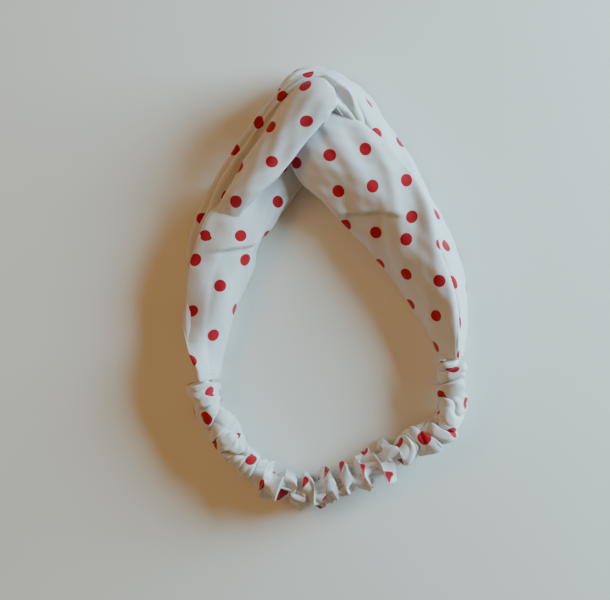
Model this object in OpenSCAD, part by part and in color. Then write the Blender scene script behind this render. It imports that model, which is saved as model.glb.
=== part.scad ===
// Knotted headband: two looped cloth bands hooked through each other at the front,
// joined at the back by a gathered casing that holds a flat elastic.
// It lies on its edge on a flat surface. X is across, +Y points to the knot, +Z is up.

/* [Casing and elastic] */
// Height of the casing, across the elastic's flat side
casing_h = 20; // [18:0.5:22]
// Thickness of the gathered casing, from its inner to its outer face
casing_t = 12; // [10:0.5:12.5]
// Height of the casing's flat ends, which the band ends hold
end_h = 18; // [16:0.5:18]
// Thickness of the casing's flat ends
end_t = 3.4; // [3:0.1:3.6]
// Width of the elastic
elastic_w = 14; // [12:0.5:14]
// Thickness of the elastic
elastic_t = 1.2; // [1:0.1:1.4]
// Room round the elastic inside the casing
slack = 0.3; // [0.2:0.05:0.4]

/* [Thread] */
// Thickness of the sewing thread
thread_d = 0.4; // [0.3:0.05:0.5]
// Length of one stitch
stitch_l = 2; // [1.6:0.1:2.2]
// Distance between stitches
stitch_pitch = 3; // [2.8:0.1:3.4]

/* [Hidden] */

cloth = [0.93, 0.92, 0.92];
thread = [0.98, 0.98, 0.97];
$fn = 48;

// A station of a band is [x, y, z, half width, half thickness, azimuth, elevation].
// The two angles point the width's axis: its heading in plan, then its tilt above the floor.
// Each band leaves its join, crosses the knot, turns back and comes home beside itself.
left_loop = [
    [-56.59, -40.69, 10, 9.2, 1.7, 0, 90],
    [-57.19, -25.69, 10.5, 10, 2.4, 0, 84],
    [-58.59, -7.69, 10.9, 11, 3, 0, 76],
    [-57.19, 10.31, 11.6, 12, 3, 0, 66],
    [-51.19, 28.31, 14, 12, 3, -12, 52],
    [-40.19, 46.01, 18.6, 13.3, 3.2, -24, 37],
    [-27.79, 61.81, 22, 14, 3.4, -34, 20],
    [-15.29, 76.31, 27.5, 13.5, 2.8, -40, 6],
    [-2.29, 83.81, 29.3, 11.5, 2.6, -44, 0],
    [5.81, 81.61, 23.5, 8, 2.4, -42, 0],
    [6.41, 79.91, 13.4, 7.5, 2.4, -40, 0],
    [-0.29, 74.81, 4.9, 9, 2.6, -38, 0],
    [-12.79, 60.31, 3.9, 12, 2.8, -34, 0],
    [-24.79, 42.51, 5, 12, 2.8, -26, -10],
    [-34.99, 23.91, 8.2, 11.8, 3, -16, -36],
    [-41.79, 6.31, 11, 12, 3.2, -6, -54],
    [-46.39, -10.69, 11.5, 11.3, 3.2, 0, -70],
    [-48.39, -26.69, 10.6, 10, 2.4, 0, -82],
    [-49.19, -40.69, 10, 9.2, 1.7, 0, -90],
];
right_loop = [
    [52.51, -30.69, 10, 9.2, 1.7, 0, 90],
    [50.21, -17.69, 10.8, 11, 2.8, -4, 70],
    [45.21, -3.69, 12, 13, 3.4, 8, 52],
    [37.71, 13.31, 13.5, 15.5, 3.8, 20, 40],
    [27.21, 31.31, 15, 17.5, 4, 30, 32],
    [14.21, 47.31, 16, 18, 3.8, 36, 26],
    [1.21, 61.31, 16, 15.5, 3.4, 40, 24],
    [-9.79, 72.31, 15.5, 10, 3.4, 42, 44],
    [-16.79, 81.81, 15.5, 7.2, 3.4, 44, 90],
    [-12.79, 90.31, 15, 7.2, 3, 46, 100],
    [-0.79, 92.31, 12.6, 8.5, 2.4, 48, 98],
    [12.21, 86.31, 12, 9, 2.4, 44, 100],
    [24.21, 69.81, 9.7, 8.6, 2.6, 34, 112],
    [37.21, 48.81, 9, 8.4, 2.6, 28, 118],
    [49.71, 26.31, 9.4, 8.8, 2.6, 20, 114],
    [57.61, 6.31, 10.2, 9.4, 2.6, 6, 106],
    [60.41, -12.69, 10.3, 9.4, 2.2, 0, 98],
    [59.91, -30.69, 10, 9.2, 1.7, 0, 90],
];
sides = 14;
rings_between = 3;

// The casing's route from the left join to the right: [turning radius, turning angle] for an
// arc, or [length, 0] for a straight stretch. Its first and last stretches are the flat ends.
route_start = [-52.89, -33.69];
route_heading = -90;
route = [[12, 0], [22, 38], [20.4, 0], [36, 80], [41.9, 0], [18, 62], [11.5, 0], [14, 0]];

corner_r = 3;
// The gathers: distance between ridges, depth of the folds outside and inside, the length over
// which the flat ends open into gathers, and the length of one step along the casing
gather_pitch = 7;
outer_fold = 1.8;
inner_fold = 1;
flare = 4;
step_l = 1.7;

// The stretches of stations where a band's lengthwise seam runs, and how far across the half
// width it sits. Inside the knot the seam is buried in the folds.
left_seam = [[1, 6], [12, 17]];
right_seam = [[1, 5], [12, 16]];
seam_across = 0.5;
// Where the join's row of stitches crosses a band's end, as a share of the first station step
row_at = 0.25;
// Distance from the gathers to the row that tacks the elastic
tack_in = 2.4;

// ---- Bands ----

function unit(v) = v / norm(v);
function curve(a, b, c, d, t) =
    0.5 * (2 * b + (c - a) * t + (2 * a - 5 * b + 4 * c - d) * t * t
           + (3 * b - a - 3 * c + d) * t * t * t);
function station(loop, k) =
    let (last = len(loop) - 1)
    k < 0 ? 2 * loop[0] - loop[1] : k > last ? 2 * loop[last] - loop[last - 1] : loop[k];
// The station at u, where whole numbers are the loop's own stations.
function at(loop, u) =
    let (k = min(floor(u), len(loop) - 2))
    curve(station(loop, k - 1), station(loop, k), station(loop, k + 1), station(loop, k + 2),
          u - k);
function place(s) = [s[0], s[1], s[2]];
function pointing(s) = [cos(s[5]) * cos(s[6]), sin(s[5]) * cos(s[6]), sin(s[6])];
// [centre, width axis, thickness axis, direction of travel] at u.
function frame(loop, u) =
    let (s = at(loop, u),
         travel = unit(place(at(loop, u + 0.02)) - place(at(loop, u - 0.02))),
         across = unit(cross(travel, pointing(s))))
    [place(s), cross(across, travel), across, travel];
function ring(loop, u) =
    let (s = at(loop, u), f = frame(loop, u))
    [for (k = [0 : sides - 1])
        f[0] + f[1] * s[3] * cos(360 * k / sides) + f[2] * s[4] * sin(360 * k / sides)];

module band(loop) {
    count = (len(loop) - 1) * rings_between;
    points = [for (i = [0 : count]) each ring(loop, i / rings_between)];
    walls = [for (i = [0 : count - 1], k = [0 : sides - 1])
        let (a = i * sides + k, b = i * sides + (k + 1) % sides)
        each [[a, b + sides, b], [a, a + sides, b + sides]]];
    start = [for (k = [0 : sides - 1]) k];
    end = [for (k = [sides - 1 : -1 : 0]) count * sides + k];
    polyhedron(points, concat([start, end], walls), convexity = 8);
}

module left_band() {
    color(cloth) band(left_loop);
}

module right_band() {
    color(cloth) band(right_loop);
}

// ---- Casing and elastic ----

function stretch_l(k) = route[k][1] == 0 ? route[k][0] : route[k][0] * route[k][1] * PI / 180;
function run(k) = k == 0 ? 0 : run(k - 1) + stretch_l(k - 1);
last = len(route) - 1;
whole = run(last) + stretch_l(last);

// [place, heading] where stretch k of the route begins.
function leg_start(k) =
    k == 0 ? [route_start, route_heading] :
    let (s = leg_start(k - 1), h = s[1], leg = route[k - 1])
    leg[1] == 0 ? [s[0] + leg[0] * [cos(h), sin(h)], h] :
    [s[0] + leg[0] * [sin(h + leg[1]) - sin(h), cos(h) - cos(h + leg[1])], h + leg[1]];

// The plan place at share t of stretch k of the route, at a distance outwards.
function on_route(k, t, out) =
    let (s = leg_start(k), h = s[1], r = route[k][0], turn = route[k][1], a = h - 90 + t * turn)
    turn == 0 ? s[0] + t * r * [cos(h), sin(h)] + out * [sin(h), -cos(h)] :
    s[0] + r * [-sin(h), cos(h)] + (r + out) * [cos(a), sin(a)];

// Steps along the whole route, each [stretch, share of it].
steps = concat([for (k = [0 : last]) let (n = ceil(stretch_l(k) / step_l))
                for (i = [0 : n - 1]) [k, i / n]], [[last, 1]]);

function smooth(t) = let (c = max(0, min(1, t))) c * c * (3 - 2 * c);
// How far the gathers have opened at a distance along the route: 0 on the flat ends.
function opened(s) = smooth((s - route[0][0]) / flare) * smooth((whole - route[last][0] - s) / flare);
// Height of the ridges, 0 in a fold and 1 on a ridge. The ridges are unevenly spaced.
function ridge(s, shift) =
    pow(abs(sin(180 * s / gather_pitch + 50 * sin(47 * s / gather_pitch + shift) + shift)), 0.8);
// Half the casing's thickness at a distance along the route, outwards (1) or inwards (-1).
function half_t(s, side) =
    let (depth = side > 0 ? outer_fold : inner_fold,
         full = casing_t / 2 - depth * (1 - ridge(s, side > 0 ? 0 : 70)))
    end_t / 2 + (full - end_t / 2) * opened(s);
function half_h(s) = (end_h + (casing_h - end_h) * opened(s)) / 2;

// The casing's outer section at step [k, t]: four round corners, from the outer top corner.
function section(k, t) =
    let (s = run(k) + t * stretch_l(k), hh = half_h(s), r = 1.2 + (corner_r - 1.2) * opened(s))
    [for (c = [[1, 1, 0], [-1, 1, 90], [-1, -1, 180], [1, -1, 270]], i = [0 : 3])
        let (a = c[2] + 30 * i,
             p = on_route(k, t, c[0] * (half_t(s, c[0]) - r) + r * cos(a)))
        [p[0], p[1], casing_h / 2 + c[1] * (hh - r) + r * sin(a)]];
// The slot's section at the same step, in the same order.
function slot(k, t) =
    [for (c = [[1, 1], [-1, 1], [-1, -1], [1, -1]])
        let (p = on_route(k, t, c[0] * (elastic_t / 2 + slack)))
        [p[0], p[1], casing_h / 2 + c[1] * (elastic_w / 2 + slack)]];

module casing() {
    n = len(steps) - 1;
    points = concat([for (s = steps) each section(s[0], s[1])],
                    [for (s = steps) each slot(s[0], s[1])]);
    first = 16 * (n + 1);
    outside = [for (i = [0 : n - 1], k = [0 : 15])
        let (a = i * 16 + k, b = i * 16 + (k + 1) % 16)
        each [[a, b, b + 16], [a, b + 16, a + 16]]];
    inside = [for (i = [0 : n - 1], k = [0 : 3])
        let (a = first + i * 4 + k, b = first + i * 4 + (k + 1) % 4)
        each [[a, b + 4, b], [a, a + 4, b + 4]]];
    // The flat rim round the slot: a corner piece and a side piece for each of its corners.
    function rim(o, s) = [for (c = [0 : 3])
        each [[s + c, for (i = [0 : 3]) o + 4 * c + i],
              [s + c, o + 4 * c + 3, o + (4 * c + 4) % 16, s + (c + 1) % 4]]];
    function reversed(f) = [for (i = [len(f) - 1 : -1 : 0]) f[i]];
    near = [for (f = rim(0, first)) reversed(f)];
    far = rim(16 * n, first + 4 * n);
    color(cloth) polyhedron(points, concat(outside, inside, near, far), convexity = 12);
}

module elastic() {
    half = elastic_t / 2;
    color([0.96, 0.96, 0.94])
        translate([0, 0, (casing_h - elastic_w) / 2])
            linear_extrude(elastic_w)
                polygon([for (s = steps) on_route(s[0], s[1], half),
                         for (i = [len(steps) - 1 : -1 : 0]) on_route(steps[i][0], steps[i][1], -half)]);
}

// ---- Thread ----

// How far a stitch's middle stands off the cloth it lies on.
lift = thread_d / 2 + 0.1;

module stitch(a, b) {
    d = b - a;
    translate(a)
        rotate([0, acos(d[2] / norm(d)), atan2(d[1], d[0])])
            cylinder(h = norm(d), d = thread_d, $fn = 8);
}

// A point on a band's face at u, at w across its width. The side is 1 or -1.
function face(loop, u, w, side) =
    let (s = at(loop, u), f = frame(loop, u), bulge = s[4] * sqrt(1 - pow(w / s[3], 2)))
    f[0] + f[1] * w + f[2] * side * (bulge + lift);

// The lengthwise seam, on the side of the band that is turned away from sight.
module band_seam(loop, stretches) {
    for (range = stretches, k = [range[0] : range[1] - 1]) {
        l = norm(place(loop[k + 1]) - place(loop[k]));
        count = floor(l / stitch_pitch);
        half = stitch_l / l / 2;
        for (i = [0 : count - 1])
            let (u = k + (i + 0.5) / count, w = at(loop, u)[3] * seam_across)
                stitch(face(loop, u - half, w, 1), face(loop, u + half, w, 1));
    }
}

// A row of stitches across each end of a band, on the face that looks away from the casing.
module join_stitches(loop, sides_out) {
    ends = [row_at, len(loop) - 1 - row_at];
    for (end = [0, 1], w = [-2 : 2])
        stitch(face(loop, ends[end], w * stitch_pitch - stitch_l / 2, sides_out[end]),
               face(loop, ends[end], w * stitch_pitch + stitch_l / 2, sides_out[end]));
}

function at_height(p, z) = [p[0], p[1], z];

// The casing's lengthwise seam, on the face that lies towards the head.
module casing_seam() {
    color(thread)
        for (k = [1 : last - 1]) {
            l = stretch_l(k);
            count = floor(l / stitch_pitch);
            half = stitch_l / l / 2;
            for (i = [0 : count - 1])
                let (t = (i + 0.5) / count,
                     s = run(k) + t * l,
                     out = -lift - max([for (d = [-1 : 0.5 : 1]) half_t(s + d * stitch_l / 2, -1)]))
                    stitch(at_height(on_route(k, t - half, out), casing_h / 2),
                           at_height(on_route(k, t + half, out), casing_h / 2));
        }
}

// A row of stitches up both faces of a flat end, through the elastic inside it.
module elastic_tack(k, t) {
    for (side = [-1, 1], w = [-2 : 2]) {
        p = on_route(k, t, side * (end_t / 2 + lift));
        middle = casing_h / 2 + w * stitch_pitch;
        stitch(at_height(p, middle - stitch_l / 2), at_height(p, middle + stitch_l / 2));
    }
}

module left_band_seam() {
    color(thread) band_seam(left_loop, left_seam);
}

module right_band_seam() {
    color(thread) band_seam(right_loop, right_seam);
}

module left_join_stitches() {
    color(thread) join_stitches(left_loop, [-1, 1]);
}

module right_join_stitches() {
    color(thread) join_stitches(right_loop, [-1, -1]);
}

module left_elastic_tack() {
    color(thread) elastic_tack(0, 1 - tack_in / route[0][0]);
}

module right_elastic_tack() {
    color(thread) elastic_tack(last, tack_in / route[last][0]);
}

left_band();
right_band();
casing();
elastic();
left_band_seam();
right_band_seam();
casing_seam();
left_join_stitches();
right_join_stitches();
left_elastic_tack();
right_elastic_tack();
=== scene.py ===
"""Looks for the knotted headband: printed cloth loops, a gathered casing and its sewing."""

import math

import bpy
import numpy as np
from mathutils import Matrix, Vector


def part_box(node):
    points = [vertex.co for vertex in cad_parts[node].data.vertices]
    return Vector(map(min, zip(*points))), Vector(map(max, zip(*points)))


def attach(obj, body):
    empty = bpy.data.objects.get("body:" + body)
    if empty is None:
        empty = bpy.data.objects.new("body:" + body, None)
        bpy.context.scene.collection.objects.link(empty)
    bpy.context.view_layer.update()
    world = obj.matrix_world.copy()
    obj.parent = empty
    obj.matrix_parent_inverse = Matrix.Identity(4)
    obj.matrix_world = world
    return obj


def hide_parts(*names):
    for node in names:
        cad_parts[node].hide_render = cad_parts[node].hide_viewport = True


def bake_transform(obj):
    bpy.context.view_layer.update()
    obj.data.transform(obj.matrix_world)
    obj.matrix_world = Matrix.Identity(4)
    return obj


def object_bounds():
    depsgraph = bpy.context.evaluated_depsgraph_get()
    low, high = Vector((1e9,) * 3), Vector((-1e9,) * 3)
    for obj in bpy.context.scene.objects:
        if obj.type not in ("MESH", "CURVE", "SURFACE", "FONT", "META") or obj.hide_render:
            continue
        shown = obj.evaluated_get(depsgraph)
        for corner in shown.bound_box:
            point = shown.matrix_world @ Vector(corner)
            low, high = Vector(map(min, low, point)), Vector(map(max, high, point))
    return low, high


MM = 0.001
# How far apart the printed dots are, in millimetres.
DOT_GRID = 16.0
# Rings along a cloth loop, and points round each ring.
BAND_RINGS, BAND_AROUND = 380, 112
# The least height of any cloth above what the headband lies on, in millimetres.
LEAST_GAP = 0.1

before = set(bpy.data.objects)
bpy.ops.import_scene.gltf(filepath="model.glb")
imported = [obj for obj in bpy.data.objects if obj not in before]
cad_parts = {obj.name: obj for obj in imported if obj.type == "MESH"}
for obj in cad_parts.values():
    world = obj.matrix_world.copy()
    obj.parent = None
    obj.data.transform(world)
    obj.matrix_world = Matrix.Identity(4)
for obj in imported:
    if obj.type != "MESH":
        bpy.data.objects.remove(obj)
cad_low, cad_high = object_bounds()


# ---- Curves and bands ----


def smooth(t):
    t = np.clip(t, 0, 1)
    return t * t * (3 - 2 * t)


def through(stations, count):
    """A smooth curve of count rows through rows of numbers."""
    rows = np.array(stations, float)
    first, last = 2 * rows[0] - rows[1], 2 * rows[-1] - rows[-2]
    rows = np.vstack([first, rows, last])
    u = np.linspace(0, len(rows) - 3, count)
    k = np.minimum(u.astype(int), len(rows) - 4)
    t = (u - k)[:, None]
    a, b, c, d = rows[k], rows[k + 1], rows[k + 2], rows[k + 3]
    curve = 2 * b + (c - a) * t + (2 * a - 5 * b + 4 * c - d) * t**2
    return 0.5 * (curve + (3 * b - a - 3 * c + d) * t**3), u


def unit(v):
    return v / np.linalg.norm(v, axis=-1, keepdims=True)


class Band:
    """Rings of a cloth band along stations [x, y, z, half width, half thickness, azimuth, tilt].

    Places are millimetres from the low corner of the band's CAD box. The azimuth and tilt, in
    degrees, say which way the band's width points. u is the station number of each ring."""

    def __init__(self, node, stations):
        rows, self.u = through(stations, BAND_RINGS)
        low = np.array(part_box(node)[0]) / MM
        self.centre = rows[:, :3] + low
        # Both ends close in a rounded hem.
        hem = np.sqrt(np.clip(np.minimum(self.u, self.u[-1] - self.u) / 0.09, 0.12, 1))
        self.wide, self.thick = rows[:, 3] - 1.2 * (1 - hem), rows[:, 4] * hem
        azimuth, tilt = np.radians(rows[:, 5]), np.radians(rows[:, 6])
        pointing = np.stack(
            [np.cos(azimuth) * np.cos(tilt), np.sin(azimuth) * np.cos(tilt), np.sin(tilt)], 1
        )
        travel = unit(np.gradient(self.centre, axis=0))
        inner = unit(np.cross(travel, pointing))
        self.across = np.cross(inner, travel)
        self.out = -inner
        self.travel = travel
        phase = np.arange(BAND_AROUND) / BAND_AROUND * 2 * math.pi
        # q runs from -1 to 1 across the band, and rise is 1 on the outer face and -1 on the inner.
        self.q = np.tile(-np.cos(phase), (BAND_RINGS, 1))
        sine = np.sin(phase)
        self.rise = np.tile(np.sign(sine) * np.abs(sine) ** 0.75, (BAND_RINGS, 1))
        self.offset = np.zeros_like(self.q)
        self.slide = np.zeros_like(self.q)

    def points(self):
        x = self.wide[:, None] * self.q + self.slide
        y = self.thick[:, None] * self.rise + self.offset
        return (
            self.centre[:, None] + self.across[:, None] * x[..., None] + self.out[:, None] * y[..., None]
        )

    def along(self, *pairs):
        """A number for each ring, from (station, number) pairs."""
        return np.interp(self.u, [p[0] for p in pairs], [p[1] for p in pairs])[:, None]

    def swell(self, face, amount):
        """Moves the outer face (1) or the inner face (-1) outward, less towards its edges."""
        share = np.abs(self.rise) ** 0.6
        self.offset += face * np.where(self.rise * face > 0, amount * share, 0)

    def rumpled(self, waves):
        """The band's points with soft waves, which die out at both ends."""
        calm = smooth(self.u / 0.8)[:, None] * smooth((self.u[-1] - self.u) / 0.8)[:, None]
        points = self.points()
        return points + surface_normals(points) * (waves * calm)[..., None]


def surface_normals(points):
    along = np.gradient(points, axis=0)
    around = np.roll(points, -1, 1) - np.roll(points, 1, 1)
    return unit(np.cross(around, along) + 1e-12)


def ripples(band, seed, long_mm, wide_mm, count=9):
    """Soft uneven waves, about 1 high, longer along the band than across it."""
    dice = np.random.default_rng(seed)
    step = np.linalg.norm(np.diff(band.centre, axis=0), axis=1)
    s = np.concatenate([[0], np.cumsum(step)])[:, None]
    across = band.q * band.wide[:, None] + 40 * (band.rise < 0)
    total = 0
    for _ in range(count):
        a = dice.uniform(0.6, 1.5) / long_mm
        b = dice.uniform(0.5, 1.5) / wide_mm * dice.choice([-1, 1])
        total = total + np.sin(2 * math.pi * (a * s + b * across + dice.uniform()))
    return total / math.sqrt(count)


def chart(band, points, station, facing):
    """Cloth coordinates in millimetres, with the hidden column where they are cut open.

    The band is unrolled from one station, with true lengths along it and round it, and is cut
    on the face that looks away: facing is 1 to show the outer face and -1 to show the inner."""
    start = int(np.searchsorted(band.u, station))
    rings, around = points.shape[:2]
    hidden = (3 if facing > 0 else 1) * around // 4
    ring = np.roll(points, -hidden, 1)
    ring = np.concatenate([ring, ring[:, :1]], 1)
    step = np.linalg.norm(np.diff(ring, axis=1), axis=2)
    arc = np.concatenate([np.zeros((rings, 1)), np.cumsum(step, 1)], 1)
    arc = arc - arc[:, around // 2 : around // 2 + 1]
    heading = band.travel[:, :2] / np.maximum(
        np.linalg.norm(band.travel[:, :2], axis=1, keepdims=True), 0.3
    )
    length = np.linalg.norm(np.gradient(band.centre, axis=0), axis=1)[:, None]
    path = np.cumsum(unit(heading) * length, axis=0)
    path = path - path[start] + band.centre[start, :2]
    side = np.stack([heading[:, 1], -heading[:, 0]], 1)
    turn = np.sign((side * band.across[:, :2]).sum(1))[:, None]
    turn = np.where(turn == 0, 1, turn) * facing
    uv = path[:, None] + unit(side)[:, None] * (arc * turn)[..., None]
    return uv, hidden


def band_mesh(name, points, charts):
    """A closed tube with end faces. charts holds (where it applies, uv, hidden column)."""
    rings, around = points.shape[:2]
    i, j = np.meshgrid(np.arange(rings - 1), np.arange(around), indexing="ij")
    a, b = i * around + j, i * around + (j + 1) % around
    faces = np.stack([a, b, b + around, a + around], -1).reshape(-1, 4)
    uv = np.zeros((len(faces), 4, 2))
    for where, grid, hidden in charts:
        k = (j - hidden) % around
        corners = [grid[i, k], grid[i, k + 1], grid[i + 1, k + 1], grid[i + 1, k]]
        chosen = np.broadcast_to(where, (rings, around))[:-1].reshape(-1)
        uv[chosen] = np.stack(corners, 2).reshape(-1, 4, 2)[chosen]
    ends = [list(range(around))[::-1], [(rings - 1) * around + n for n in range(around)]]
    mesh = bpy.data.meshes.new(name)
    mesh.from_pydata((points.reshape(-1, 3) * MM).tolist(), [], faces.tolist() + ends)
    flat = np.concatenate([uv.reshape(-1, 2), np.zeros((2 * around, 2))]) / DOT_GRID
    layer = mesh.uv_layers.new(name="Cloth")
    layer.data.foreach_set("uv", flat.astype(np.float32).ravel())
    mesh.polygons.foreach_set("use_smooth", [True] * len(mesh.polygons))
    piece = bpy.data.objects.new(name, mesh)
    bpy.context.scene.collection.objects.link(piece)
    return piece


def settled(points):
    """Points kept above what the headband lies on, with a soft landing."""
    lowest, soft = cad_low.z / MM + LEAST_GAP, 1.5
    above = points[..., 2] - lowest
    landed = soft * np.exp(np.minimum(above, soft) / soft - 1)
    kept = points.copy()
    kept[..., 2] = lowest + np.where(above > soft, above, landed)
    return kept


def leaned(points, amount, foot, head):
    """Points moved sideways by `amount` above the height `head`, and not at all below `foot`."""
    share = smooth((points[..., 2] - foot) / (head - foot))
    moved = points.copy()
    moved[..., 0] += amount * share
    return moved


def valley(q, where, width):
    """A sharp dip of depth 1 across the band at q = where."""
    blunt = 0.02
    return np.exp((blunt - np.sqrt((q - where) ** 2 + blunt**2)) / width)


def printed(uv, setting):
    """Cloth coordinates turned and shifted so that the print falls right: [degrees, x, y]."""
    degrees, x, y = setting
    a = math.radians(degrees)
    spin = np.array([[math.cos(a), math.sin(a)], [-math.sin(a), math.cos(a)]])
    return uv @ spin + np.array([x, y])


# ---- Left loop ----

# Up the outer leg, over the knot (stations 8 to 12) and down the inner leg.
LEFT = [
    [8.4, 0.4, 9.8, 9.2, 2.7, 0, 90],
    [8.5, 15.4, 10.3, 10.0, 2.8, 0, 84],
    [7.0, 33.4, 10.7, 11.0, 2.4, 0, 78],
    [6.4, 51.4, 11.4, 12.0, 3.0, 0, 66],
    [12.4, 69.4, 13.8, 12.0, 3.0, -12, 52],
    [24.2, 86.6, 18.4, 12.6, 3.2, -24, 37],
    [37.2, 101.6, 21.8, 12.4, 3.4, -34, 22],
    [49.4, 116.0, 26.6, 12.0, 3.0, -40, 8],
    [59.2, 123.6, 29.0, 10.8, 2.8, -50, 0],
    [68.0, 125.0, 26.4, 6.4, 2.6, -84, 0],
    [72.8, 120.0, 22.0, 4.6, 2.4, -130, 10],
    [77.4, 111.8, 14.6, 4.2, 2.2, -142, 20],
    [73.4, 107.8, 6.2, 5.0, 2.2, -100, 10],
    [62.6, 109.0, 3.9, 8.0, 2.2, -50, 0],
    [50.8, 101.4, 3.7, 12.0, 2.6, -34, 0],
    [38.8, 83.6, 4.8, 12.0, 2.8, -26, -10],
    [28.6, 65.0, 8.0, 11.8, 3.0, -16, -36],
    [21.8, 47.4, 10.8, 12.0, 3.2, -6, -54],
    [17.2, 30.4, 11.3, 11.3, 3.2, 0, -70],
    [14.8, 14.4, 10.4, 10.0, 2.8, 0, -82],
    [13.2, 0.4, 9.8, 9.2, 2.7, 0, -90],
]


# The stations where the broad pleat ends in its nose, and where the inner leg begins.
NOSE, INNER_LEG = 8.74, 12

# How the print falls on each stretch of cloth: degrees, and shifts in millimetres.
LEFT_PRINTS = {
    "pleat": [-7, 5.8, 0.2],
    "strips": [-40, 1.2, 9.6],
    "curl": [-29, 13.4, 0.9],
    "inner leg": [8, 2.9, 5.1],
    "over the fold": [-38, 12.7, 7.6],
}


def pleat_outer_leg(band):
    """Two narrow strips and a broad pleat run up the outer leg, with a sharp dip between each."""
    q = band.q
    first_dip = band.along((0, -0.1), (3, -0.45), (5, -0.7), (6.5, -0.84), (8, -0.9))
    second_dip = band.along(
        (0, 0.45), (3, 0.2), (5, -0.26), (7, -0.66), (8.4, -0.72), (9, 0.1), (10, 0.2)
    )
    first_depth = band.along((0, 0.6), (2, 2.6), (4, 3.2), (5.5, 2.0), (7, 1.4), (9, 0.9))
    second_depth = band.along(
        (0, 0.4), (2.5, 3.0), (4, 4.4), (6, 4.6), (7.5, 3.4), (8.6, 2.4), (9.2, 1.4), (11, 0.5)
    )
    crown = band.along((0, 0), (2.5, 0.8), (4, 2.0), (6, 2.4), (8, 2.4), (8.7, 2.2), (9.2, 0.6), (12, 0))
    pleat = np.sin(math.pi * np.clip((q - second_dip) / (1.02 - second_dip), 0, 1)) ** 0.8
    strip = np.sin(math.pi * np.clip((q - first_dip) / (second_dip - first_dip), 0, 1))
    top = crown * pleat + 0.8 * strip * smooth(second_depth)
    top = top - first_depth * valley(q, first_dip, 0.09) - second_depth * valley(q, second_dip, 0.13)
    # The broad pleat ends in a nose, and the strips behind it curl on round the hole.
    u = band.u[:, None]
    nose = smooth((u - NOSE + 0.12 * q) / 0.09) * smooth((10.6 - u) / 1.2)
    band.swell(1, top - 2.2 * nose * smooth((q + 0.45) / 0.5))
    return second_dip


def fold_inner_leg(band):
    """The upper part of the inner leg lies over its lower part in one short fold."""
    q = band.q
    fold = 16.3 - 0.45 * q
    over = smooth((fold - band.u[:, None]) / 0.05) * band.along((13, 0), (15.2, 3.0), (18, 3.0))
    crest = band.along((13, 0), (15, 1.4), (18, 1.6), (19.5, 0.4))
    under = over * smooth((q + 0.9) / 0.5) + crest * np.cos(q * 1.5) ** 2
    under = under - band.along((16, 0), (17.3, 1.2), (19, 0.8), (20, 0.4)) * valley(q, -0.45, 0.12)
    band.swell(-1, under)
    tuck = band.along((13.8, 0), (14.8, 2.6), (15.9, 4.8), (16.25, 4.2), (16.6, 0.6), (17, 0))
    band.slide -= tuck * np.clip(q, 0, 1)
    return fold


def wrap_inner_leg(band, points):
    """Below the fold, the inner leg's upper edge lies over the outer leg, which is lower there."""
    q = band.q
    beyond = band.along(
        (14.8, 0), (15.4, 0.35), (15.9, 0.8), (16.3, 0.84), (16.9, 0.97),
        (18.3, 1), (19.1, 0.75), (19.6, 0.5), (20, 0.4),
    )
    wrapped = band.along((12, 0), (15.6, 0.1), (16.8, 1), (20, 1))
    fall = band.along((12, 5), (17, 5), (18, 8), (18.8, 7), (19.3, 2), (20, 0))
    reach = np.clip((0.35 - q) / 1.35, 0, 1) ** 1.3 * beyond
    points[..., 0] -= 12.6 * reach
    points[..., 2] += 2.4 * np.sin(math.pi * np.clip(reach, 0, 1)) * beyond
    points[..., 2] += 3.4 * (1 - wrapped) * reach - fall * wrapped * reach**1.6
    # The outer leg is pressed down along a slanting line, and only in its upper part.
    slanted = band.u[:, None] - 0.9 * (q - 0.4)
    pressed = np.interp(slanted, [0, 1, 3, 3.8, 4.7, 6, 7], [1, 1.4, 1.3, 1, 0.35, 0.15, 0])
    points[..., 2] -= 8.6 * (pressed * smooth((points[..., 2] - 5) / 14))


def left_loop():
    band = Band("left_band", LEFT)
    second_dip = pleat_outer_leg(band)
    fold = fold_inner_leg(band)
    points = band.rumpled(0.5 * ripples(band, 3, 48, 13) + 0.16 * ripples(band, 4, 20, 7))
    wrap_inner_leg(band, points)
    lean = band.along((0, 2), (2, 3), (3, 4.5), (4, 3), (4.8, 0), (20, 0))
    points = settled(leaned(points, lean, 7, 17))
    top_uv, top_seam = chart(band, points, 6, 1)
    low_uv, low_seam = chart(band, points, 16, -1)
    u = band.u[:, None]
    leg = u > INNER_LEG
    charts = [
        (~leg, printed(top_uv, LEFT_PRINTS["pleat"]), top_seam),
        (~leg & (band.q < second_dip), printed(top_uv, LEFT_PRINTS["strips"]), top_seam),
        (~leg & (u > NOSE), printed(top_uv, LEFT_PRINTS["curl"]), top_seam),
        (leg, printed(low_uv, LEFT_PRINTS["inner leg"]), low_seam),
        (leg & (u > fold - 0.1), printed(low_uv, LEFT_PRINTS["over the fold"]), low_seam),
    ]
    return band, points, band_mesh("left_cloth_loop", points, charts)


# ---- Right loop ----

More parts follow.
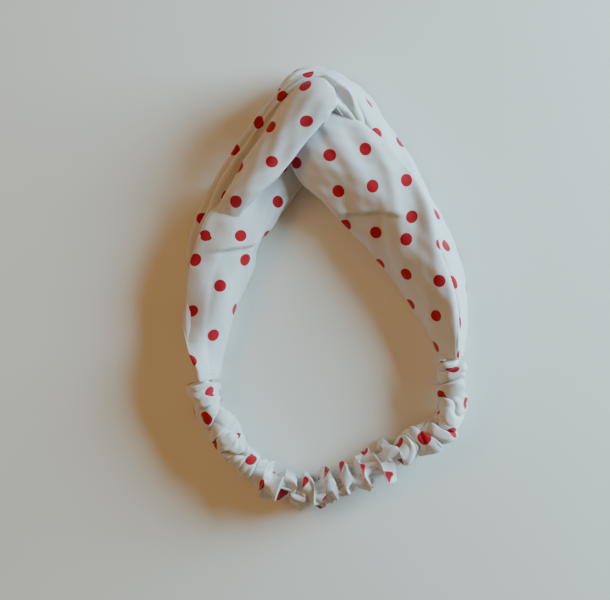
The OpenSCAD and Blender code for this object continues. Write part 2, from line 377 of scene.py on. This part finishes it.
# Up the front panel, round the standing fold (stations 7 to 10) and down the rim strip.
RIGHT = [
    [73.6, 0.4, 9.6, 9.2, 2.7, 0, 90],
    [70.3, 13.4, 10.4, 11.0, 2.8, -4, 70],
    [65.3, 27.4, 11.6, 13.0, 3.4, 8, 52],
    [57.8, 44.4, 13.1, 15.5, 3.8, 20, 40],
    [48.4, 63.0, 14.8, 18.4, 4.0, 30, 22],
    [35.8, 79.5, 16.4, 19.0, 3.8, 36, 9],
    [20.7, 92.0, 16.6, 18.0, 3.4, 40, 8],
    [10.6, 103.8, 15.6, 11.6, 3.4, 42, 32],
    [3.3, 113.4, 15.1, 7.4, 3.4, 44, 90],
    [7.6, 123.4, 14.6, 7.4, 3.0, 46, 100],
    [20.0, 124.8, 12.6, 8.5, 2.4, 48, 104],
    [32.8, 118.0, 11.8, 9.0, 2.4, 44, 112],
    [44.6, 101.2, 9.8, 8.6, 2.6, 34, 122],
    [57.3, 79.9, 8.8, 8.4, 2.6, 28, 128],
    [69.8, 57.4, 9.0, 8.8, 2.6, 20, 120],
    [77.7, 37.4, 9.8, 9.4, 2.6, 6, 112],
    [80.5, 18.4, 9.9, 9.4, 2.2, 0, 98],
    [79.0, 0.4, 9.6, 9.2, 2.7, 0, 90],
]


# The station where the front panel gives way to the rim strip.
RIM = 8.3

RIGHT_PRINTS = {
    "panel": [-12, 9.7, 15.8],
    "under the crease": [4, 2.9, 13.6],
    "rim": [1, 7.4, 6.3],
}


def crease_panel(band):
    """The front panel's upper part folds over its lower part along one long crease."""
    q, u = band.q, band.u[:, None]
    crease = 3.6 + 0.57 * (0.9 - q)
    depth = 2.2 * smooth((0.62 - q) / 0.6)
    upper = smooth((u - crease) / 0.06) * smooth((6.6 - u) / 2)
    under = np.exp(-np.maximum(crease - u, 0) / 0.5) * (u < crease)
    crown = band.along(
        (0, 0.2), (0.9, 2.6), (2, 3.0), (3.4, 3.4), (5, 2.6), (6, 2.2), (7.5, 0.6), (9, 0)
    )
    band.swell(1, depth * upper - 0.35 * depth * under + crown * np.cos((q - 0.15) * 1.45) ** 2)
    return crease


def right_loop():
    band = Band("right_band", RIGHT)
    crease = crease_panel(band)
    points = band.rumpled(0.6 * ripples(band, 8, 46, 15) + 0.14 * ripples(band, 9, 20, 8))
    lean = band.along((0, 3.6), (1, 3.4), (2, 2.6), (3.4, 0), (14.5, 0), (16, -1.2), (17, -1.6))
    points = settled(leaned(points, lean, 6, 19))
    top_uv, seam = chart(band, points, 5, 1)
    rim_uv, _ = chart(band, points, 13, 1)
    u = band.u[:, None]
    below = u < crease - 0.4 * smooth((band.q - 0.2) / 0.2)
    charts = [
        (u > RIM, printed(rim_uv, RIGHT_PRINTS["rim"]), seam),
        (u <= RIM, printed(top_uv, RIGHT_PRINTS["panel"]), seam),
        (below, printed(top_uv, RIGHT_PRINTS["under the crease"]), seam),
    ]
    return band, points, band_mesh("right_cloth_loop", points, charts)


# ---- Casing, elastic and their route ----

# The route from the left join to the right, in millimetres and degrees: (radius, turn) for an
# arc, or (length, 0) for a straight stretch. It ends at the far end of the elastic's CAD solid.
ROUTE = [(12, 0), (22, 38), (20.4, 0), (36, 80), (41.9, 0), (18, 62), (11.5, 0), (14, 0)]

CASING_SEED = 11
CASING_RINGS, CASING_AROUND = 600, 84
CASING_PRINT = [19, 3.5, 5.2]
# The casing's pleats come about this often along the route, in millimetres.
PUFF_PITCH, FRILL_PITCH, FINE_PITCH = 9.5, 10.5, 4.3


class Route:
    """The casing's centreline in plan, with its outward direction, at any distance along it."""

    def __init__(self):
        place, heading, run = np.zeros(2), -math.pi / 2, 0.0
        rows = [(run, *place, heading)]
        for radius, turn in ROUTE:
            length = radius if turn == 0 else radius * math.radians(turn)
            steps = max(2, int(length / 0.4))
            bend = 0 if turn == 0 else math.radians(turn) / steps
            for _ in range(steps):
                middle = heading + bend / 2
                place = place + length / steps * np.array([math.cos(middle), math.sin(middle)])
                heading += bend
                run += length / steps
                rows.append((run, *place, heading))
        self.rows = np.array(rows)
        self.length = run
        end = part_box("elastic")[1] / MM
        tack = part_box("right_elastic_tack")
        middle = (tack[0].x + tack[1].x) / 2 / MM
        self.rows[:, 1:3] += np.array([middle, end.y]) - self.rows[-1, 1:3]

    def at(self, s):
        """Places at the distances s, and the directions out of the loop there."""
        x, y, heading = (np.interp(s, self.rows[:, 0], self.rows[:, k]) for k in (1, 2, 3))
        return np.stack([x, y], -1), np.stack([np.sin(heading), -np.cos(heading)], -1)


def loop_of(count, wide, high, square_x, square_y):
    """Points round a closed section by even arc length, with their outward directions.

    A power below 1 squares the section off, and one above 1 draws it to an edge."""
    a = np.linspace(0, 2 * math.pi, 721)
    x = wide / 2 * np.sign(np.cos(a)) * np.abs(np.cos(a)) ** square_x
    y = high / 2 * np.sign(np.sin(a)) * np.abs(np.sin(a)) ** square_y
    far = np.concatenate([[0], np.cumsum(np.hypot(np.diff(x), np.diff(y)))])
    at = np.arange(count) / count * far[-1]
    ring = np.stack([np.interp(at, far, x), np.interp(at, far, y)], 1)
    along = np.roll(ring, -1, 0) - np.roll(ring, 1, 0)
    return ring, unit(np.stack([along[:, 1], -along[:, 0]], 1))


def waves_on(s, angle, dice, terms):
    """A sum of smooth waves over the cloth's length s and the angle round it, about 1 high."""
    total = 0
    for pitch, twist in terms:
        total = total + np.sin(2 * math.pi * (s / pitch + dice.uniform()) + twist * angle)
    return total / math.sqrt(len(terms))


def casing_section(opened, frilly):
    """The casing's cross section at each ring, before its ruffles, and the directions out of it.

    It is flat inside the joins, round in the puffs, and narrow-edged in the frills."""
    flat, flat_out = loop_of(CASING_AROUND, 3.4, 17.0, 0.8, 0.8)
    puffed, puffed_out = loop_of(CASING_AROUND, 8.6, 14.6, 0.8, 0.9)
    edged, edged_out = loop_of(CASING_AROUND, 8.4, 16.0, 1.1, 0.95)
    full = puffed + (edged - puffed) * frilly[..., None]
    full_out = puffed_out + (edged_out - puffed_out) * frilly[..., None]
    section = flat + (full - flat) * opened[..., None]
    section[..., 1] *= 0.84 + 0.16 * opened
    return section, unit(flat_out + (full_out - flat_out) * opened[..., None])


def ruffle_height(where, angle, frilly, drift, dice):
    """How far the cloth stands out: round puffs between sharp creases, or sharper frills."""
    puff_turn = math.pi * where / PUFF_PITCH + 1.15 * drift
    fine_turn = math.pi * where / FINE_PITCH + 2.6 * waves_on(where, angle, dice, [(31, 2), (43, -1)])
    size = np.clip(1 + 0.35 * waves_on(where, angle, dice, [(34, 1), (26, -2)]), 0.5, 1.5)
    puff = np.abs(np.cos(puff_turn)) ** 0.6
    crest = 1 - np.abs(np.cos(puff_turn + 0.8)) ** 0.8
    sharp = 0.22 + 0.78 * frilly
    height = (3.6 * size * puff - 1.2) * (1 - sharp) + (3.8 * size * crest - 0.5) * sharp
    return height + (0.9 + 0.5 * frilly) * (np.abs(np.cos(fine_turn)) ** 0.6 - 0.5)


def frill_sway(where, up, frilly, drift, dice):
    """How far the cloth swings aside and is pushed along, most at the upper and lower edges."""
    tilt = 0.9 * up * waves_on(where, 0, dice, [(47, 0), (31, 0)])
    turn = 2 * math.pi * where / FRILL_PITCH
    turn = turn + 0.9 * waves_on(where, 0, dice, [(33, 0), (21, 0), (61, 0)]) + tilt
    reach_out = np.clip(1 + 0.4 * waves_on(where, 0, dice, [(27, 0), (39, 0)]), 0.5, 1.45)
    sway = (0.35 + 0.65 * np.abs(up) ** 1.5) * (0.25 + 0.75 * frilly) * reach_out
    puff_push = 0.9 * (1 - frilly) * np.sin(2 * math.pi * where / PUFF_PITCH + 2.3 * drift)
    return 2.6 * sway * np.cos(turn), 1.5 * sway * np.sin(2 * turn) + puff_push


def gathered_casing(route):
    """A cloth tube much longer than its route, pushed along it into ruffles and puffs."""
    dice = np.random.default_rng(CASING_SEED)
    low, high = (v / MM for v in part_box("casing"))
    where = np.linspace(5.0, route.length - 6.0, CASING_RINGS)[:, None]
    angle = (np.arange(CASING_AROUND) / CASING_AROUND * 2 * math.pi)[None]
    opened = smooth((where - 6.6) / 2.6) * smooth((route.length - 7.0 - where) / 2.6)
    frilly = smooth((where - 50) / 16) * smooth((route.length - 52 - where) / 14)

    section, out = casing_section(opened, frilly)
    drift = waves_on(where, angle, dice, [(38, 1), (57, -1), (29, 2)])
    height = ruffle_height(where, angle, frilly, drift, dice)
    aside, push = frill_sway(where, section[..., 1] / 8.2, frilly, drift, dice)
    grown = section + out * (opened * height)[..., None]
    grown[..., 0] += opened * aside
    place, side = route.at(where + opened * push)
    xy = place + side * grown[..., :1]
    points = np.concatenate([xy, ((low.z + high.z) / 2 + grown[..., 1])[..., None]], 2)
    # The tips of the highest frills are pressed down towards the CAD's height.
    proud = np.maximum(points[..., 2] - high.z + 0.5, 0)
    points[..., 2] -= 0.75 * proud
    points = settled(points)

    along = np.linalg.norm(np.diff(points, axis=0), axis=2).mean(1)
    length = np.concatenate([[0], np.cumsum(along)])
    girth = np.linalg.norm(np.roll(points, -1, 1) - points, axis=2).sum(1).mean()
    v = np.arange(CASING_AROUND + 1) / CASING_AROUND * girth
    uv = printed(np.stack(np.broadcast_arrays(length[:, None], v[None]), -1), CASING_PRINT)
    return where[:, 0], points, band_mesh("gathered_casing", points, [(True, uv, 0)])


def elastic_strip(route):
    """The ribbed elastic: fine lengthwise ribs on a flat strip."""
    low, high = (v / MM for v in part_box("elastic"))
    rings, around = 150, 64
    s = np.linspace(0, route.length, rings)
    place, side = route.at(s)
    ring, out = loop_of(around, 1.2, high.z - low.z, 0.25, 0.25)
    ribs = 0.08 * np.cos(2 * math.pi * ring[:, 1] / 1.4) * (np.abs(out[:, 0]) > 0.5)
    ring = ring + out * ribs[:, None]
    xy = place[:, None] + side[:, None] * ring[None, :, :1]
    z = np.repeat(((low.z + high.z) / 2 + ring[:, 1])[None], rings, 0)
    points = np.concatenate([xy, z[..., None]], 2)
    uv = np.stack(np.broadcast_arrays(s[:, None], np.arange(around + 1)[None] * 0.47), -1)
    return band_mesh("ribbed_elastic", points, [(True, uv, 0)])


# ---- Sewing ----

# A stitch's length, its distance to the next and its thread's radius, in millimetres.
STITCH, STITCH_PITCH, THREAD = 2.0, 3.0, 0.22
# The columns of a cloth loop across its outer face and its inner face.
OUTER_FACE, INNER_FACE = (12, 44), (68, 100)
# The column of the long seam where it runs on the inner face, and where it runs on the outer.
INNER_SEAM, OUTER_SEAM = 75, 37


def stitch_row(name, paths):
    """Short thread stitches along paths of [place, outward direction] rows, sunk at their ends."""
    points, faces = [], []
    around, rings = 6, 7
    for place, out in paths:
        far = np.concatenate([[0], np.cumsum(np.linalg.norm(np.diff(place, axis=0), axis=1))])
        for k in range(int((far[-1] - 0.5) / STITCH_PITCH)):
            s = 0.6 + k * STITCH_PITCH + np.linspace(0, STITCH, rings)
            middle = np.stack([np.interp(s, far, place[:, n]) for n in range(3)], 1)
            up = unit(np.stack([np.interp(s, far, out[:, n]) for n in range(3)], 1))
            share = np.linspace(-1, 1, rings)
            middle = middle + up * (0.2 - 0.45 * share[:, None] ** 4)
            side = unit(np.cross(np.gradient(middle, axis=0), up))
            thick = THREAD * (1 - 0.8 * share**6)
            for n in range(rings):
                for a in np.arange(around) / around * 2 * math.pi:
                    points.append(middle[n] + thick[n] * (math.cos(a) * side[n] + math.sin(a) * up[n]))
            start = len(points) - rings * around
            for n in range(rings - 1):
                for m in range(around):
                    first, next_m = start + n * around, (m + 1) % around
                    second = first + around
                    faces.append([first + m, first + next_m, second + next_m, second + m])
            faces.append([start + m for m in range(around)][::-1])
            faces.append([start + (rings - 1) * around + m for m in range(around)])
    mesh = bpy.data.meshes.new(name)
    mesh.from_pydata([tuple(p * MM) for p in points], [], faces)
    mesh.polygons.foreach_set("use_smooth", [True] * len(mesh.polygons))
    piece = bpy.data.objects.new(name, mesh)
    bpy.context.scene.collection.objects.link(piece)
    return piece


def surface_path(points, rings, columns):
    """Places on a tube's surface and the directions out of it, along rings or columns."""
    return points[rings, columns], surface_normals(points)[rings, columns]


def lengthwise(band, points, first, last, column):
    """A seam's path along one column, from one station to another."""
    rings = np.arange(*np.searchsorted(band.u, [first, last]))
    return surface_path(points, rings, np.full(len(rings), column))


def crosswise(points, ring, first, last):
    """A row's path round one ring, from one column to another."""
    columns = np.arange(first, last + 1) % points.shape[1]
    return surface_path(points, np.full(len(columns), ring), columns)


def sewing(left, left_points, right, right_points, where, casing_points):
    """Every row of stitches by the name of the CAD node that it stands for."""
    end, far_end = 5, BAND_RINGS - 6
    half = CASING_AROUND // 2
    inside = np.arange(CASING_RINGS)[30:-30]
    # The tacks cross the casing's outer side and its head side, just inside each join.
    tacks = {}
    for name, distance in (("left", 10.2), ("right", where[-1] - 4.4)):
        ring = np.searchsorted(where, distance)
        tacks[name] = [crosswise(casing_points, ring, middle - 12, middle + 12) for middle in (0, half)]
    return {
        "left_band_seam": [
            lengthwise(left, left_points, 1, 6, INNER_SEAM),
            lengthwise(left, left_points, 13, 18, OUTER_SEAM),
        ],
        "right_band_seam": [
            lengthwise(right, right_points, 1, 5, INNER_SEAM),
            lengthwise(right, right_points, 12, 16, INNER_SEAM),
        ],
        "casing_seam": [surface_path(casing_points, inside, np.full(len(inside), half))],
        "left_join_stitches": [
            crosswise(left_points, end, *OUTER_FACE),
            crosswise(left_points, far_end, *INNER_FACE),
        ],
        "right_join_stitches": [
            crosswise(right_points, end, *OUTER_FACE),
            crosswise(right_points, far_end, *OUTER_FACE),
        ],
        "left_elastic_tack": tacks["left"],
        "right_elastic_tack": tacks["right"],
    }


# ---- Materials ----


def material(name, colour, roughness):
    made = bpy.data.materials.new(name)
    made.use_nodes = True
    shader = made.node_tree.nodes["Principled BSDF"]
    shader.inputs["Base Color"].default_value = (*colour, 1)
    shader.inputs["Roughness"].default_value = roughness
    return made, shader


def node(tree, kind, **settings):
    """A new shader node. in_N sets its Nth input, and any other word sets a property of it."""
    made = tree.nodes.new(kind)
    for key, value in settings.items():
        if key.startswith("in_"):
            made.inputs[int(key[3:])].default_value = value
        else:
            setattr(made, key, value)
    return made


def mixed(tree, factor, first, second):
    """A mix by factor of two colours, each given as red, green and blue or as a node's output."""
    made = node(tree, "ShaderNodeMix", data_type="RGBA")
    tree.links.new(factor, made.inputs[0])
    for colour, socket in ((first, made.inputs[6]), (second, made.inputs[7])):
        if isinstance(colour, tuple):
            socket.default_value = (*colour, 1)
        else:
            tree.links.new(colour, socket)
    return made.outputs[2]


def bands(tree, place, direction, scale, distortion):
    """Even light and dark bands across one direction."""
    made = node(tree, "ShaderNodeTexWave", wave_type="BANDS", bands_direction=direction)
    made.inputs["Scale"].default_value = scale
    made.inputs["Distortion"].default_value = distortion
    tree.links.new(place, made.inputs["Vector"])
    return made.outputs["Fac"]


def bumped(tree, shader, height, strength, distance):
    """Raises the shader's surface by height, with distance in metres."""
    bump = node(tree, "ShaderNodeBump")
    bump.inputs["Strength"].default_value = strength
    bump.inputs["Distance"].default_value = distance
    tree.links.new(height, bump.inputs["Height"])
    tree.links.new(bump.outputs[0], shader.inputs["Normal"])


def spots(tree, cloth, radius, soft, offset):
    """1 inside a round dot of that radius at each point of the cloth's grid, 0 outside."""
    moved = node(tree, "ShaderNodeVectorMath", operation="ADD", in_1=(*offset, 0))
    cell = node(tree, "ShaderNodeVectorMath", operation="FRACTION")
    middle = node(tree, "ShaderNodeVectorMath", operation="SUBTRACT", in_1=(0.5, 0.5, 0))
    far = node(tree, "ShaderNodeVectorMath", operation="LENGTH")
    inside = node(tree, "ShaderNodeMapRange", in_1=radius + soft, in_2=radius - soft)
    tree.links.new(cloth, moved.inputs[0])
    tree.links.new(moved.outputs[0], cell.inputs[0])
    tree.links.new(cell.outputs[0], middle.inputs[0])
    tree.links.new(middle.outputs[0], far.inputs[0])
    tree.links.new(far.outputs["Value"], inside.inputs[0])
    return inside.outputs[0]


def printed_cloth():
    """Matt white woven cloth with red dots, and faint dots between them that show through."""
    made, shader = material("printed_cloth", (0.8, 0.8, 0.8), 0.85)
    shader.inputs["Sheen Weight"].default_value = 0.25
    shader.inputs["Sheen Roughness"].default_value = 0.5
    shader.inputs["Specular IOR Level"].default_value = 0.25
    tree = made.node_tree
    cloth = node(tree, "ShaderNodeUVMap", uv_map="Cloth").outputs[0]
    tint = node(tree, "ShaderNodeTexNoise")
    tint.inputs["Scale"].default_value = 1.4
    tint.inputs["Detail"].default_value = 3
    tree.links.new(cloth, tint.inputs["Vector"])
    uneven = tint.outputs["Fac"]
    white = mixed(tree, uneven, (0.60, 0.595, 0.61), (0.66, 0.655, 0.665))
    ghost = node(tree, "ShaderNodeMath", operation="MULTIPLY", in_1=0.1)
    tree.links.new(spots(tree, cloth, 0.15, 0.05, (0.36, 0.22)), ghost.inputs[0])
    faint = mixed(tree, ghost.outputs[0], white, (0.72, 0.5, 0.55))
    red = mixed(tree, uneven, (0.36, 0.0, 0.008), (0.44, 0.0, 0.012))
    colour = mixed(tree, spots(tree, cloth, 0.17, 0.006, (0, 0)), faint, red)
    tree.links.new(colour, shader.inputs["Base Color"])
    weave = node(tree, "ShaderNodeMath", operation="MULTIPLY")
    for k, direction in enumerate("XY"):
        tree.links.new(bands(tree, cloth, direction, 14, 0.4), weave.inputs[k])
    bumped(tree, shader, weave.outputs[0], 0.25, 0.00004)
    return made


def spun_thread():
    """Matt white sewing thread with a fine twist."""
    made, shader = material("spun_thread", (0.7, 0.7, 0.69), 0.7)
    shader.inputs["Sheen Weight"].default_value = 0.3
    tree = made.node_tree
    place = node(tree, "ShaderNodeTexCoord").outputs["Object"]
    twist = bands(tree, place, "DIAGONAL", 900, 0)
    tone = mixed(tree, twist, (0.6, 0.6, 0.59), (0.76, 0.76, 0.75))
    tree.links.new(tone, shader.inputs["Base Color"])
    bumped(tree, shader, twist, 0.4, 0.00004)
    return made


def elastic_web():
    """White knitted elastic: rows of loops between its lengthwise ribs."""
    made, shader = material("elastic_web", (0.75, 0.75, 0.73), 0.75)
    shader.inputs["Sheen Weight"].default_value = 0.15
    tree = made.node_tree
    place = node(tree, "ShaderNodeUVMap", uv_map="Cloth").outputs[0]
    loops = bands(tree, place, "X", 6, 0.6)
    tone = mixed(tree, loops, (0.6, 0.6, 0.57), (0.8, 0.8, 0.78))
    tree.links.new(tone, shader.inputs["Base Color"])
    bumped(tree, shader, loops, 0.6, 0.0001)
    return made


# ---- Stage ----


# The camera looks straight down from this height in metres, over this many times the CAD's width.
CAMERA_HEIGHT, VIEW_WIDTHS = 0.6, 2.18


def area_light(name, place, aim, size, power, colour):
    data = bpy.data.lights.new(name, "AREA")
    data.size = size
    data.energy = power
    data.color = colour
    light = bpy.data.objects.new(name, data)
    light.location = place
    light.rotation_euler = (Vector(aim) - Vector(place)).to_track_quat("-Z", "Y").to_euler()
    bpy.context.scene.collection.objects.link(light)


def stage():
    """A pale floor, a warm dim room, a cool low light on the right, a warm one, and the camera."""
    span = cad_high - cad_low
    middle = (cad_low + cad_high) / 2
    floor_mesh = bpy.data.meshes.new("floor")
    corners = [(-3, -3, cad_low.z), (3, -3, cad_low.z), (3, 3, cad_low.z), (-3, 3, cad_low.z)]
    floor_mesh.from_pydata(corners, [], [(0, 1, 2, 3)])
    floor = bpy.data.objects.new("floor", floor_mesh)
    bpy.context.scene.collection.objects.link(floor)
    plain, _ = material("floor", (0.8, 0.79, 0.75), 0.7)
    floor_mesh.materials.append(plain)
    world = bpy.data.worlds.new("world")
    world.use_nodes = True
    background = world.node_tree.nodes["Background"]
    background.inputs["Color"].default_value = (1, 0.6, 0.24, 1)
    background.inputs["Strength"].default_value = 0.225
    bpy.context.scene.world = world
    aim = (middle.x, middle.y, cad_low.z)
    area_light("cool_key", (0.8, 0.3, 0.32), aim, 0.55, 27.5, (0.45, 0.76, 0.91))
    area_light("warm_fill", (-0.9, 0.35, 1.0), aim, 0.5, 4.5, (1, 0.56, 0.24))
    data = bpy.data.cameras.new("camera")
    camera = bpy.data.objects.new("camera", data)
    data.lens = data.sensor_width * CAMERA_HEIGHT / (span.x * VIEW_WIDTHS)
    camera.location = (middle.x - 0.0705 * span.x, middle.y - 0.027 * span.y, CAMERA_HEIGHT)
    bpy.context.scene.collection.objects.link(camera)
    bpy.context.scene.camera = camera


# ---- The scene ----

stage()
cloth = printed_cloth()
left_band, left_points, left = left_loop()
right_band, right_points, right = right_loop()
for piece, name in ((left, "left_band"), (right, "right_band")):
    piece.data.materials.append(cloth)
    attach(piece, "front")
    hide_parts(name)

route = Route()
where, casing_points, casing = gathered_casing(route)
elastic = elastic_strip(route)


def on_back(piece):
    """Bakes the piece's place into its mesh."""
    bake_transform(piece)


casing.data.materials.append(cloth)
elastic.data.materials.append(elastic_web())
for piece, name, slot in ((casing, "casing", "printed_cloth"), (elastic, "elastic", "elastic_web")):
    on_back(piece)
    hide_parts(name)

thread = spun_thread()
rows = sewing(left_band, left_points, right_band, right_points, where, casing_points)
for name, paths in rows.items():
    piece = stitch_row(name + "_threads", paths)
    piece.data.materials.append(thread)
    if name == "casing_seam":
        on_back(piece)
    else:
        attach(piece, "front")
    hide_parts(name)
